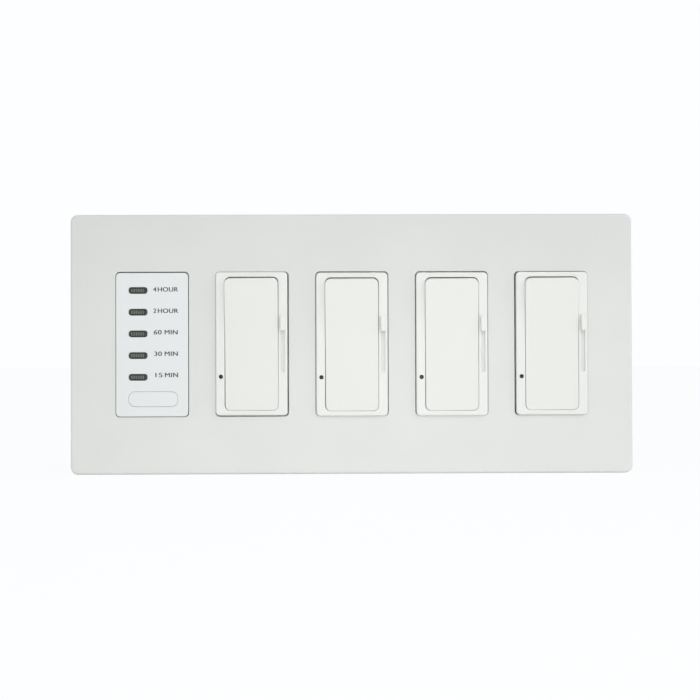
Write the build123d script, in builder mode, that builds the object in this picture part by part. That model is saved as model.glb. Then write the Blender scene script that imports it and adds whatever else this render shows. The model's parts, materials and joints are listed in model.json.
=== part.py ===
from build123d import *
import os
from math import cos, radians, sin

# A five-gang wall plate that holds one countdown timer switch and four slide dimmers.
# +X runs to the right along the plate, +Z runs up, and the front faces -Y.
# The origin is the middle of the centre gang on the wall's surface.
# A "front" distance is measured from the wall towards the room, and is negative inside the wall.

os.makedirs("parts", exist_ok=True)

# Gangs: the spacing of the devices and the standard spacings of their screws
gang_count = 5
gang_pitch = 46.04
box_screw_spacing = 83.34
screw_row_gap = 6.75

# Wall plate cover: a shell that rests on the wall by its rim and snaps on the adapter plate
plate_end_reach = 37.75
plate_edge_reach = 11.6
plate_wall = 2.0
plate_corner_radius = 3.4
plate_edge_round = 1.2
face_clearance = 0.4
opening_radius = 1.9

# Device faces: what shows through the openings, set by the gaps beside them
face_side_gap = 6.52
face_screw_gap = 8.62
face_corner_cut = 1.1

# How far each device sits off the middle of its opening, as shares of the clearance, across and up
seat_shift_shares = ((-0.2, -0.3), (-0.55, 0.5), (0.0, -0.5), (0.3, -0.5), (0.7, 0.0))

# Adapter plate: screws on the straps and carries the cover
adapter_thickness = 2.0
adapter_edge_gap = 0.4
adapter_opening_gap = 0.7
adapter_corner_cut = 2.0
spacer_width = 4.0
spacer_height = 60.0
spacer_gap = 0.2
head_gap = 0.8
head_room = 0.6
catch_length = 14.0
catch_depth = 0.9
catch_gap = 0.15
catch_hold = 0.8

# Screws
screw_radius = 1.75
screw_head_radius = 3.3
screw_head_depth = 1.7
screw_neck_radius = 1.4
box_screw_length = 22.0
cover_screw_length = 8.0
thread_gap = 0.05
screw_hole_gap = 0.6
polygon_sides = 8

# Metal straps
strap_thickness = 1.3
strap_side_gap = 1.42
strap_plate_margin = 2.5
strap_ear_width = 25.0
strap_end_reach = 4.58
strap_corner_cut = 2.0
box_slot_width = 6.4
box_slot_height = 4.4
tab_width = 12.0
tab_length = 12.0
tab_thickness = 0.8
tab_window_margin = 3.0
tab_window_depth = 3.0
tab_gap = 0.1
lug_reach = 0.6

# Back housings
housing_side_gap = 2.22
housing_screw_gap = 8.17
housing_wall = 1.6
housing_corner_cut = 2.0
housing_edge_cut = 1.4
ledge_height = 2.4
terminal_pad_width = 9.0
terminal_pad_depth = 8.0
terminal_pad_reach = 3.0
terminal_recess = 2.4
terminal_recess_width = 7.0
terminal_inset = 15.0
terminal_height = 15.0

# Circuit boards
board_thickness = 1.6
board_edge_gap = 0.4

# Dimmer frame (bezel)
bezel_proud = 1.3
bezel_edge_cut = 0.5
frame_side = 4.05
frame_end = 2.15
well_corner_cut = 1.5
bezel_floor = 1.2
hook_width = 3.0
hook_thickness = 1.6
hook_reach = 1.2
hook_barb = 0.5
hook_gap = 0.15
hook_x_share = 0.318
hook_z_share = 0.416

# Rocker paddle
paddle_side_gap = 0.25
paddle_end_gap = 0.55
paddle_corner_cut = 1.45
paddle_edge_cut = 0.45
paddle_front_wall = 1.8
paddle_side_wall = 1.3
skirt_gap = 0.4
paddle_throw = 8.0
pivot_depth = 4.5
pin_radius = 1.1
pin_grip = 0.5
pin_gap = 0.05
pin_end_gap = 0.15
ear_wall = 0.4
paddle_rib = 1.2
paddle_rib_depth = 1.5
leg_width = 3.6
leg_thickness = 1.6
leg_tip_radius = 1.2
leg_arm = 6.9

# Slider knob, its slot and the dust strip that closes the slot
slider_inset_share = 0.52
slider_travel_share = 0.26626
slot_across = 2.1
slot_top_share = 0.1944
knob_width = 2.3
knob_height_share = 0.1083
knob_proud = 2.0
knob_edge_cut = 0.35
slider_lip = 0.9
neck_across = 1.7
strip_across = 2.35
strip_thickness = 0.6
strip_gap = 0.1
strip_overlap = 0.9
strip_side_gap = 0.175
stem_across = 1.2
stem_height = 3.2
control_width = 6.0
control_end = 4.0
control_gap = 0.4
stem_sink = 1.6

# Indicator light
light_inset_share = 0.59
light_z_share = 0.23
light_radius = 0.85
light_gap = 0.06

# Power switch behind the paddle's leg
switch_width = 11.0
switch_height = 13.0
switch_wall = 0.8
switch_floor = 0.67
carrier_width = 7.0
carrier_height = 8.0
carrier_depth = 2.9
carrier_notch_depth = 2.5
carrier_gap = 0.15
leg_gap = 0.1

# Choke and triac
choke_width = 12.0
choke_height = 10.0
choke_x = 4.0
triac_width = 10.0
triac_height = 15.0
triac_depth = 4.4
triac_x = 11.0
component_end_gap = 7.9

# Timer face
timer_proud = 0.3
timer_wall = 1.6
timer_edge_cut = 0.4
window_count = 5
window_pitch_share = 0.1514
window_top_share = 0.3752
window_x_share = 0.193
window_width_share = 0.2606
window_height_share = 0.0454
window_cut_share = 0.3
window_gap = 0.06
window_recess = 0.05
window_flange = 0.6
window_flange_depth = 0.8
button_x = 0.58
button_z_share = 0.3797
button_width_share = 0.68
button_height_share = 0.1029
button_corner_cut = 1.7
button_gap = 0.25
button_proud = 0.1
button_flange = 0.9
button_flange_depth = 0.7
button_travel = 0.6
flange_gap = 0.15

# Timer's boards and what they carry
display_board_gap = 0.7
display_board_thickness = 1.2
display_board_edge_gap = 0.4
post_size = 2.0
led_width = 3.0
led_height = 1.6
led_depth = 1.0
led_gap = 0.3
guide_width = 4.0
guide_height = 2.4
push_switch_size = 6.0
push_switch_gap = 0.25
plunger_size = 3.2
plunger_gap = 0.05
plunger_tail = 0.7
header_width = 12.0
header_height = 2.5
header_gap = 0.5
header_z = 4.0
relay_width = 19.0
relay_height = 15.5
relay_depth = 15.0
relay_room = 3.797
relay_z = 12.0
capacitor_width = 18.0
capacitor_thickness = 8.0
capacitor_length = 15.0
capacitor_z = 14.0

# One overrun serves all cuts
cut_over = 1.0

# Worked-out sizes of the plate, the faces and what fills the gangs
gang_centres = [(gang - (gang_count - 1) / 2) * gang_pitch for gang in range(gang_count)]
dimmer_gangs = range(1, gang_count)
cover_screw_spacing = box_screw_spacing + 2 * screw_row_gap
adapter_front = strap_thickness + adapter_thickness
cover_front_inner = adapter_front + screw_head_depth + head_room
plate_depth = cover_front_inner + plate_wall
plate_length = (gang_count - 1) * gang_pitch + 2 * plate_end_reach
plate_height = cover_screw_spacing + 2 * plate_edge_reach
face_width = gang_pitch - 2 * face_side_gap
face_height = box_screw_spacing - 2 * face_screw_gap
opening_width = face_width + 2 * face_clearance
opening_height = face_height + 2 * face_clearance
housing_width = gang_pitch - 2 * housing_side_gap
housing_height = box_screw_spacing - 2 * housing_screw_gap
cavity_width = housing_width - 2 * housing_wall
cavity_height = housing_height - 2 * housing_wall
strap_plate_width = gang_pitch - 2 * strap_side_gap
strap_plate_height = housing_height + 2 * strap_plate_margin
strap_height = cover_screw_spacing + 2 * strap_end_reach

# Worked-out sizes of the dimmers
bezel_front = plate_depth + bezel_proud
bezel_depth = bezel_front - strap_thickness
well_width = face_width - 2 * frame_side
well_height = face_height - 2 * frame_end
well_floor = strap_thickness + bezel_floor
hook_places_x = face_width * hook_x_share
hook_places_z = face_height * hook_z_share
paddle_width = well_width - 2 * paddle_side_gap
paddle_height = well_height - 2 * paddle_end_gap
paddle_tilt = paddle_throw / 2
paddle_dip = paddle_height / 2 * sin(radians(paddle_tilt))
paddle_skirt = bezel_front - well_floor - paddle_dip - skirt_gap
pivot_front = bezel_front - pivot_depth
ear_reach = pin_radius + ear_wall
carrier_travel = leg_arm * radians(paddle_throw)
carrier_rise = leg_arm * sin(radians(paddle_tilt))
leg_room = 2 * (leg_tip_radius + carrier_rise + control_gap)
tip_front = pivot_front - leg_arm * cos(radians(paddle_tilt))
carrier_front = tip_front + carrier_notch_depth - leg_tip_radius - leg_gap
board_front = carrier_front - carrier_depth - carrier_gap - switch_floor
board_back = board_front - board_thickness
housing_depth = relay_depth + relay_room + housing_wall - board_back
choke_z = cavity_height / 2 - choke_width / 2 - component_end_gap
triac_z = cavity_height / 2 - triac_height / 2 - component_end_gap
light_x = face_width / 2 - frame_side * light_inset_share
light_z = face_height * light_z_share
light_room = 2 * (light_radius + control_gap)
slider_x = face_width / 2 - frame_side * slider_inset_share
slider_travel = face_height * slider_travel_share
slot_top = face_height * slot_top_share
knob_height = face_height * knob_height_share
slot_bottom = slot_top - knob_height - slider_travel
knob_z = slot_top - knob_height / 2
lip_inner = bezel_front - slider_lip
strip_front = lip_inner - strip_gap
strip_back = strip_front - strip_thickness
strip_top = slot_top + slider_travel + strip_overlap
strip_bottom = slot_bottom - strip_overlap
channel_across = strip_across + 2 * strip_side_gap
channel_top = strip_top + strip_overlap
channel_bottom = strip_bottom - slider_travel - strip_overlap
stem_travel_top = knob_z + stem_height / 2 + control_gap
stem_travel_bottom = knob_z - slider_travel - stem_height / 2 - control_gap

# Worked-out sizes of the timer
timer_front = plate_depth + timer_proud
timer_inner = timer_front - timer_wall
display_back = strap_thickness + display_board_gap
display_front = display_back + display_board_thickness
button_z = face_height * button_z_share
button_width = face_width * button_width_share
button_height = face_height * button_height_share
button_front = timer_front + button_proud
flange_front = timer_inner - flange_gap
button_back = flange_front - button_flange_depth
push_switch_front = button_back - button_travel - push_switch_gap
window_x = face_width * window_x_share
window_top = face_height * window_top_share
window_pitch = face_height * window_pitch_share
window_width = face_width * window_width_share
window_height = face_height * window_height_share
window_cut = window_height * window_cut_share
window_places = [(-window_x, window_top - row * window_pitch) for row in range(window_count)]


def seat(gang):
    """The place of a device's middle, across and up, with its small shift in the opening."""
    across_share, up_share = seat_shift_shares[gang]
    return gang_centres[gang] + across_share * face_clearance, up_share * face_clearance


def facing(centre, front):
    """The plane that faces the room at a front distance, with its middle at a device's middle."""
    return Plane(origin=(centre[0], -front, centre[1]), x_dir=(1, 0, 0), z_dir=(0, -1, 0))


def wall_plane(front):
    """The plane that faces the room at a front distance, with its middle at the origin."""
    return Plane.XZ.offset(front)


def save(piece, name):
    piece.part.label = name
    export_step(piece.part, "parts/" + name + ".step")


def shifted(places, centre):
    return [(x + centre[0], z + centre[1]) for x, z in places]


def mirrored_up(spacing):
    return [(0, spacing / 2), (0, -spacing / 2)]


def clipped(width, height, cut):
    """A rectangle with its corners cut off."""
    x, z = width / 2, height / 2
    right = [(x - cut, -z), (x, cut - z), (x, z - cut), (x - cut, z)]
    left = [(-a, b) for a, b in reversed(right)]
    Polygon(*right, *left)


def prisms(front, places, radius, depth):
    """Faceted prisms at the places, from a front distance towards the room, or away if depth is negative."""
    with BuildSketch(wall_plane(front)) as outline:
        with Locations(*places):
            RegularPolygon(radius, polygon_sides, major_radius=False)
    extrude(outline.sketch, amount=depth)


# Wall plate
def make_cover():
    inner_height = plate_height - 2 * plate_wall
    catch_front = strap_thickness - catch_gap
    between = [(a + b) / 2 for a, b in zip(gang_centres[:-1], gang_centres[1:])]
    catch_height = adapter_edge_gap + catch_hold
    catch_z = (inner_height - catch_height) / 2
    with BuildPart() as cover:
        with BuildSketch(Plane.XZ):
            RectangleRounded(plate_length, plate_height, plate_corner_radius)
        extrude(amount=plate_depth)
        fillet(cover.faces().sort_by(Axis.Y)[0].edges(), plate_edge_round)
        with BuildSketch(Plane.XZ):
            Rectangle(plate_length - 2 * plate_wall, inner_height)
        extrude(amount=cover_front_inner, mode=Mode.SUBTRACT)
        with BuildSketch(Plane.XZ):
            with Locations(*[(x, 0) for x in gang_centres]):
                RectangleRounded(opening_width, opening_height, opening_radius)
        extrude(amount=plate_depth + cut_over, mode=Mode.SUBTRACT)
        # catches under the adapter's long edges hold the cover on
        with BuildSketch(wall_plane(catch_front)):
            with Locations(*[(x, side * catch_z) for x in between for side in (-1, 1)]):
                Rectangle(catch_length, catch_height)
        extrude(amount=-catch_depth)
    save(cover, "wallplate_cover")


def make_adapter():
    length = plate_length - 2 * plate_wall - 2 * adapter_edge_gap
    height = plate_height - 2 * plate_wall - 2 * adapter_edge_gap
    inner_width = face_width + 2 * adapter_opening_gap
    inner_height = face_height + 2 * adapter_opening_gap
    notch_width = 2 * (screw_head_radius + head_gap)
    between = [(a + b) / 2 for a, b in zip(gang_centres[:-1], gang_centres[1:])]
    end_x = gang_centres[-1] + gang_pitch / 2
    cover_screws = [(x, z) for x in gang_centres for _, z in mirrored_up(cover_screw_spacing)]
    with BuildPart() as adapter:
        with BuildSketch(wall_plane(strap_thickness)):
            Rectangle(length, height)
        extrude(amount=adapter_thickness)
        chamfer(adapter.edges().filter_by(Axis.Y), adapter_corner_cut)
        # spacers between the gangs carry the cover's front wall
        with BuildSketch(wall_plane(adapter_front)):
            with Locations(*[(x, 0) for x in [-end_x] + between + [end_x]]):
                Rectangle(spacer_width, spacer_height)
        extrude(amount=cover_front_inner - spacer_gap - adapter_front)
        # each opening has a notch above and below that clears the box screws' heads
        with BuildSketch(wall_plane(strap_thickness)):
            with Locations(*[(x, 0) for x in gang_centres]):
                Rectangle(inner_width, inner_height)
                Rectangle(notch_width, box_screw_spacing + notch_width)
            with Locations(*cover_screws):
                Rectangle(2 * (screw_radius + screw_hole_gap), 2 * (screw_radius + screw_hole_gap))
        extrude(amount=adapter_thickness, mode=Mode.SUBTRACT)
    save(adapter, "wallplate_adapter")


def make_plate_screws():
    places = []
    for gang in range(gang_count):
        places += shifted(mirrored_up(cover_screw_spacing), seat(gang))
    with BuildPart() as screws:
        prisms(adapter_front, places, screw_head_radius, screw_head_depth)
        prisms(adapter_front, places, screw_radius, -cover_screw_length)
    save(screws, "adapter_screws")

    places = [(x, z) for x in gang_centres for _, z in mirrored_up(box_screw_spacing)]
    with BuildPart() as screws:
        prisms(strap_thickness, places, screw_head_radius, screw_head_depth)
        prisms(strap_thickness, places, screw_neck_radius, -strap_thickness)
        with BuildSketch(Plane.XZ):
            with Locations(*places):
                Circle(screw_radius)
        extrude(amount=-box_screw_length)
    save(screws, "box_screws")


# Straps and housings
def strap_blank(centre):
    """The strap of every device: a plate with two ears, and a tab bent back along each side."""
    with BuildSketch(facing(centre, 0)) as blank:
        clipped(strap_ear_width, strap_height, strap_corner_cut)
        Rectangle(strap_plate_width, strap_plate_height)
        with Locations(*mirrored_up(box_screw_spacing)):
            Rectangle(box_slot_width, box_slot_height, mode=Mode.SUBTRACT)
        with Locations(*mirrored_up(cover_screw_spacing)):
            RegularPolygon(
                screw_radius + thread_gap, polygon_sides, major_radius=False, mode=Mode.SUBTRACT
            )
    extrude(blank.sketch, amount=strap_thickness)
    tab_x = housing_width / 2 + tab_gap + tab_thickness / 2
    with BuildSketch(facing(centre, 0)) as tabs:
        with Locations((-tab_x, 0), (tab_x, 0)):
            Rectangle(tab_thickness, tab_width)
    extrude(tabs.sketch, amount=-tab_length)
    with BuildSketch(facing(centre, tab_window_margin - tab_length)) as windows:
        with Locations((-tab_x, 0), (tab_x, 0)):
            Rectangle(tab_thickness + tab_gap, tab_width - 2 * tab_window_margin)
    extrude(windows.sketch, amount=tab_window_depth, mode=Mode.SUBTRACT)


def make_dimmer_strap(name, centre):
    with BuildPart() as strap:
        strap_blank(centre)
        with BuildSketch(facing(centre, 0)):
            Rectangle(leg_width + 2 * control_gap, leg_room)
            with Locations((slider_x, (stem_travel_top + stem_travel_bottom) / 2)):
                Rectangle(stem_across + 2 * control_gap, stem_travel_top - stem_travel_bottom)
            with Locations((-light_x, -light_z)):
                Rectangle(light_room, light_room)
            with Locations(*[(x * hook_places_x, z * hook_places_z) for x in (-1, 1) for z in (-1, 1)]):
                Rectangle(hook_width + 2 * hook_gap, hook_thickness + 2 * hook_gap)
        extrude(amount=strap_thickness, mode=Mode.SUBTRACT)
    save(strap, name + "_strap")


def make_timer_strap(centre):
    with BuildPart() as strap:
        strap_blank(centre)
        with BuildSketch(facing(centre, 0)):
            with Locations((0, header_z)):
                Rectangle(header_width + 2 * header_gap, header_height + 2 * header_gap)
        extrude(amount=strap_thickness, mode=Mode.SUBTRACT)
    save(strap, "timer_strap")


def make_housing(name, centre):
    outer_x = housing_width / 2
    pad_width = housing_wall + terminal_pad_reach
    with BuildPart() as housing:
        with BuildSketch(facing(centre, 0)):
            Rectangle(housing_width, housing_height)
        extrude(amount=-housing_depth)
        chamfer(housing.edges().filter_by(Axis.Y), housing_corner_cut)
        chamfer(housing.faces().sort_by(Axis.Y)[-1].edges(), housing_edge_cut)
        with BuildSketch(facing(centre, 0)):
            Rectangle(cavity_width, cavity_height)
        extrude(amount=housing_wall - housing_depth, mode=Mode.SUBTRACT)
        # ledges that the board rests on
        with BuildSketch(facing(centre, board_back)):
            with Locations(*[(0, side * (cavity_height - ledge_height) / 2) for side in (-1, 1)]):
                Rectangle(cavity_width, ledge_height)
        extrude(amount=housing_wall - housing_depth - board_back)
        # a lug on each side snaps into the window of the strap's tab
        lug_height = tab_width - 2 * tab_window_margin - 2 * tab_gap
        with BuildSketch(facing(centre, tab_window_margin + tab_gap - tab_length)):
            Rectangle(housing_width + 2 * (tab_gap + lug_reach), lug_height)
            Rectangle(cavity_width, tab_width, mode=Mode.SUBTRACT)
        extrude(amount=tab_window_depth - 2 * tab_gap)
        # pads inside the side walls, each with a recess outside for a terminal
        for side, up in ((1, 1), (-1, -1)):
            with BuildSketch(facing(centre, terminal_pad_depth / 2 - terminal_inset)):
                with Locations((side * (outer_x - pad_width / 2), up * terminal_height)):
                    Rectangle(pad_width, terminal_pad_width)
            extrude(amount=-terminal_pad_depth)
            with BuildSketch(facing(centre, terminal_recess_width / 2 - terminal_inset)):
                with Locations((side * (outer_x - (terminal_recess - cut_over) / 2), up * terminal_height)):
                    Rectangle(terminal_recess + cut_over, terminal_recess_width)
            extrude(amount=-terminal_recess_width, mode=Mode.SUBTRACT)
    save(housing, name + "_housing")


def make_board(name, centre):
    with BuildPart() as board:
        with BuildSketch(facing(centre, board_back)):
            Rectangle(cavity_width - 2 * board_edge_gap, cavity_height - 2 * board_edge_gap)
        extrude(amount=board_thickness)
    save(board, name)


# Dimmers
def make_bezel(name, centre):
    light_place = (-light_x, -light_z)
    channel_mid = (channel_top + channel_bottom) / 2
    slot_mid = (slot_top + slot_bottom) / 2
    hooks = [(x, z) for x in (-1, 1) for z in (-1, 1)]
    with BuildPart() as bezel:
        with BuildSketch(facing(centre, strap_thickness)):
            clipped(face_width, face_height, face_corner_cut)
        extrude(amount=bezel_depth)
        chamfer(bezel.faces().sort_by(Axis.Y)[0].edges(), bezel_edge_cut)
        with BuildSketch(facing(centre, well_floor)):
            clipped(well_width, well_height, well_corner_cut)
        extrude(amount=bezel_depth, mode=Mode.SUBTRACT)
        # the slider's channel, closed at the front by a lip with the slot in it
        with BuildSketch(facing(centre, strap_thickness)):
            with Locations((slider_x, channel_mid)):
                Rectangle(channel_across, channel_top - channel_bottom)
        extrude(amount=lip_inner - strap_thickness, mode=Mode.SUBTRACT)
        with BuildSketch(facing(centre, lip_inner)):
            with Locations((slider_x, slot_mid)):
                Rectangle(slot_across, slot_top - slot_bottom)
        extrude(amount=slider_lip + cut_over, mode=Mode.SUBTRACT)
        # the floor's window for the paddle's leg, and the bore for the light
        with BuildSketch(facing(centre, strap_thickness)):
            Rectangle(leg_width + 2 * control_gap, leg_room)
            with Locations(light_place):
                RegularPolygon(light_radius + light_gap, polygon_sides, major_radius=False)
        extrude(amount=bezel_depth, mode=Mode.SUBTRACT)
        # pin holes in both side walls of the well
        pivot = Plane(
            origin=(centre[0], -pivot_front, centre[1]), x_dir=(0, 0, 1), z_dir=(1, 0, 0)
        )
        with BuildSketch(pivot):
            Circle(pin_radius + pin_gap)
        extrude(amount=well_width / 2 + pin_grip + pin_end_gap, both=True, mode=Mode.SUBTRACT)
        # hooks through the strap
        with BuildSketch(facing(centre, strap_thickness)):
            with Locations(*[(x * hook_places_x, z * hook_places_z) for x, z in hooks]):
                Rectangle(hook_width, hook_thickness)
        extrude(amount=-strap_thickness - hook_reach - hook_gap)
        barb_z = hook_places_z + hook_barb + hook_gap
        with BuildSketch(facing(centre, -hook_gap)):
            with Locations(*[(x * hook_places_x, z * barb_z) for x, z in hooks]):
                Rectangle(hook_width, hook_thickness)
        extrude(amount=-hook_reach)
    save(bezel, name + "_bezel")


def make_paddle(name, centre):
    tilt = radians(paddle_tilt)
    pivot = Plane(
        origin=(centre[0], -pivot_front, centre[1]), x_dir=(1, 0, 0), z_dir=(0, -cos(tilt), -sin(tilt))
    )
    skirt_back = pivot_depth - paddle_skirt
    inner_front = pivot_depth - paddle_front_wall
    ear_x = (paddle_width - paddle_side_wall) / 2
    pin_length = (well_width - paddle_width) / 2 + pin_grip
    with BuildPart() as paddle:
        with BuildSketch(pivot.offset(skirt_back)):
            clipped(paddle_width, paddle_height, paddle_corner_cut)
        extrude(amount=paddle_skirt)
        chamfer(paddle.faces().sort_by(Axis(pivot.origin, pivot.z_dir))[-1].edges(), paddle_edge_cut)
        with BuildSketch(pivot.offset(skirt_back)):
            Rectangle(paddle_width - 2 * paddle_side_wall, paddle_height - 2 * paddle_side_wall)
        extrude(amount=inner_front - skirt_back, mode=Mode.SUBTRACT)
        # a stiffening rib across each half
        with BuildSketch(pivot.offset(inner_front)):
            with Locations((0, paddle_height / 4), (0, -paddle_height / 4)):
                Rectangle(paddle_width - paddle_side_wall, paddle_rib)
        extrude(amount=-paddle_rib_depth)
        # ears that reach behind the pivot, with a pin on each
        with BuildSketch(pivot.offset(-ear_reach)):
            with Locations((-ear_x, 0), (ear_x, 0)):
                Rectangle(paddle_side_wall, 2 * ear_reach)
        extrude(amount=ear_reach + inner_front)
        for side in (-1, 1):
            pin_plane = Plane(
                origin=(centre[0] + side * paddle_width / 2, -pivot_front, centre[1]),
                x_dir=(0, 0, 1),
                z_dir=(side, 0, 0),
            )
            with BuildSketch(pin_plane):
                Circle(pin_radius)
            extrude(amount=pin_length)
        # the leg that drives the switch, with a round tip
        with BuildSketch(pivot.offset(-leg_arm)):
            Rectangle(leg_width, leg_thickness)
        extrude(amount=leg_arm + inner_front)
        tip_plane = Plane(
            origin=(centre[0], -tip_front, centre[1] + carrier_rise), x_dir=(0, 0, 1), z_dir=(1, 0, 0)
        )
        with BuildSketch(tip_plane):
            RegularPolygon(leg_tip_radius, polygon_sides)
        extrude(amount=leg_width / 2, both=True)
    save(paddle, name + "_paddle")


def make_slider(name, centre):
    stem_back = board_front + stem_sink
    with BuildPart() as slider:
        with BuildSketch(facing(centre, bezel_front + strip_gap)):
            with Locations((slider_x, knob_z)):
                Rectangle(knob_width, knob_height)
        extrude(amount=knob_proud - strip_gap)
        chamfer(slider.faces().sort_by(Axis.Y)[0].edges(), knob_edge_cut)
        with BuildSketch(facing(centre, strip_back)):
            with Locations((slider_x, knob_z)):
                Rectangle(neck_across, knob_height - 2 * strip_gap)
        extrude(amount=bezel_front + knob_edge_cut - strip_back)
        with BuildSketch(facing(centre, strip_back)):
            with Locations((slider_x, (strip_top + strip_bottom) / 2)):
                Rectangle(strip_across, strip_top - strip_bottom)
        extrude(amount=strip_thickness)
        with BuildSketch(facing(centre, stem_back)):
            with Locations((slider_x, knob_z)):
                Rectangle(stem_across, stem_height)
        extrude(amount=strip_back - stem_back)
    save(slider, name + "_slider")


def make_slide_control(name, centre):
    bottom = stem_travel_bottom - control_end
    top = stem_travel_top + control_end
    with BuildPart() as control:
        with BuildSketch(facing(centre, board_front)):
            with Locations((slider_x, (top + bottom) / 2)):
                Rectangle(control_width, top - bottom)
        extrude(amount=-board_front - control_gap)
        with BuildSketch(facing(centre, board_front + stem_sink - control_gap)):
            with Locations((slider_x, (stem_travel_top + stem_travel_bottom) / 2)):
                Rectangle(stem_across + control_gap, stem_travel_top - stem_travel_bottom)
        extrude(amount=-board_front, mode=Mode.SUBTRACT)
    save(control, name + "_slide_control")


def make_light(name, centre):
    with BuildPart() as light:
        with BuildSketch(facing(centre, bezel_front - light_gap)):
            with Locations((-light_x, -light_z)):
                RegularPolygon(light_radius, polygon_sides, major_radius=False)
        extrude(amount=board_front - bezel_front + light_gap)
    save(light, name + "_indicator_light")


def make_contact_carrier(name, centre):
    raised = (centre[0], centre[1] + carrier_rise)
    with BuildPart() as carrier:
        with BuildSketch(facing(raised, carrier_front)):
            Rectangle(carrier_width, carrier_height)
        extrude(amount=-carrier_depth)
        with BuildSketch(facing(raised, carrier_front)):
            Rectangle(leg_width + 2 * carrier_gap, 2 * (leg_tip_radius + leg_gap))
        extrude(amount=-carrier_notch_depth, mode=Mode.SUBTRACT)
    save(carrier, name + "_contact_carrier")


def make_switches():
    """The power switches' bodies: each a box on the board that the contact carrier slides in."""
    room_height = carrier_height + carrier_travel + 2 * carrier_gap
    room_back = carrier_front - carrier_depth - carrier_gap
    body_front = carrier_front + carrier_gap + switch_wall
    with BuildPart() as switches:
        for gang in dimmer_gangs:
            centre = seat(gang)
            with BuildSketch(facing(centre, board_front)):
                Rectangle(switch_width, switch_height)
            extrude(amount=body_front - board_front)
            with BuildSketch(facing(centre, room_back)):
                Rectangle(carrier_width + 2 * carrier_gap, room_height)
            extrude(amount=carrier_depth + 2 * carrier_gap, mode=Mode.SUBTRACT)
            with BuildSketch(facing(centre, room_back)):
                Rectangle(leg_width + 2 * control_gap, leg_room)
            extrude(amount=body_front - room_back, mode=Mode.SUBTRACT)
    save(switches, "dimmer_power_switches")


def make_chokes():
    with BuildPart() as chokes:
        for gang in dimmer_gangs:
            with BuildSketch(facing(seat(gang), board_back)):
                with Locations((choke_x, -choke_z)):
                    Rectangle(choke_width, choke_width)
            extrude(amount=-choke_height)
    save(chokes, "dimmer_chokes")


def make_triacs():
    with BuildPart() as triacs:
        for gang in dimmer_gangs:
            with BuildSketch(facing(seat(gang), 0)):
                with Locations((-triac_x, triac_z)):
                    Rectangle(triac_width, triac_height)
            extrude(amount=-triac_depth)
    save(triacs, "dimmer_triacs")


# Timer
def make_timer_face(centre):
    inner_width = face_width - 2 * timer_wall
    inner_height = face_height - 2 * timer_wall
    post_x = (inner_width - post_size) / 2
    post_z = (inner_height - post_size) / 2
    with BuildPart() as face:
        with BuildSketch(facing(centre, strap_thickness)):
            clipped(face_width, face_height, face_corner_cut)
        extrude(amount=timer_front - strap_thickness)
        chamfer(face.faces().sort_by(Axis.Y)[0].edges(), timer_edge_cut)
        with BuildSketch(facing(centre, strap_thickness)):
            Rectangle(inner_width, inner_height)
        extrude(amount=timer_inner - strap_thickness, mode=Mode.SUBTRACT)
        # corner posts hold the display board down
        with BuildSketch(facing(centre, display_front)):
            with Locations(*[(x * post_x, z * post_z) for x in (-1, 1) for z in (-1, 1)]):
                Rectangle(post_size, post_size)
        extrude(amount=timer_inner - display_front)
        with BuildSketch(facing(centre, timer_inner)):
            with Locations(*window_places):
                clipped(window_width + 2 * window_gap, window_height + 2 * window_gap, window_cut)
            with Locations((button_x, -button_z)):
                clipped(button_width + 2 * button_gap, button_height + 2 * button_gap, button_corner_cut)
        extrude(amount=timer_wall + cut_over, mode=Mode.SUBTRACT)
    save(face, "timer_face")


def make_timer_windows(centre):
    with BuildPart() as windows:
        with BuildSketch(facing(centre, display_front + led_depth + led_gap)):
            with Locations(*window_places):
                Rectangle(guide_width, guide_height)
        extrude(amount=timer_inner - display_front - led_depth - led_gap)
        with BuildSketch(facing(centre, timer_inner)):
            with Locations(*window_places):
                clipped(window_width, window_height, window_cut)
        extrude(amount=timer_wall - window_recess)
        # one strip behind the face joins the five windows
        strip_middle = window_top - (window_count - 1) * window_pitch / 2
        strip_height = (window_count - 1) * window_pitch + window_height + 2 * window_flange
        with BuildSketch(facing(centre, timer_inner)):
            with Locations((-window_x, strip_middle)):
                Rectangle(window_width + 2 * window_flange, strip_height)
        extrude(amount=-window_flange_depth)
    save(windows, "timer_windows")


def make_timer_button(centre):
    with BuildPart() as button:
        with BuildSketch(facing(centre, button_back)):
            with Locations((button_x, -button_z)):
                clipped(button_width, button_height, button_corner_cut)
        extrude(amount=button_front - button_back)
        with BuildSketch(facing(centre, button_back)):
            with Locations((button_x, -button_z)):
                Rectangle(button_width + 2 * button_flange, button_height + 2 * button_flange)
        extrude(amount=button_flange_depth)
    save(button, "timer_button")


def make_display(centre):
    width = face_width - 2 * timer_wall - 2 * display_board_edge_gap
    height = face_height - 2 * timer_wall - 2 * display_board_edge_gap
    with BuildPart() as board:
        with BuildSketch(facing(centre, display_back)):
            Rectangle(width, height)
        extrude(amount=display_board_thickness)
    save(board, "timer_display_board")

    with BuildPart() as leds:
        with BuildSketch(facing(centre, display_front)):
            with Locations(*window_places):
                Rectangle(led_width, led_height)
        extrude(amount=led_depth)
    save(leds, "timer_leds")

    with BuildPart() as switch:
        with BuildSketch(facing(centre, display_front)):
            with Locations((button_x, -button_z)):
                Rectangle(push_switch_size, push_switch_size)
                Rectangle(
                    plunger_size + 2 * plunger_gap, plunger_size + 2 * plunger_gap, mode=Mode.SUBTRACT
                )
        extrude(amount=push_switch_front - display_front)
    save(switch, "timer_push_switch")

    with BuildPart() as plunger:
        with BuildSketch(facing(centre, push_switch_front - plunger_tail)):
            with Locations((button_x, -button_z)):
                Rectangle(plunger_size, plunger_size)
        extrude(amount=button_back - plunger_gap - push_switch_front + plunger_tail)
    save(plunger, "timer_switch_plunger")


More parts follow.
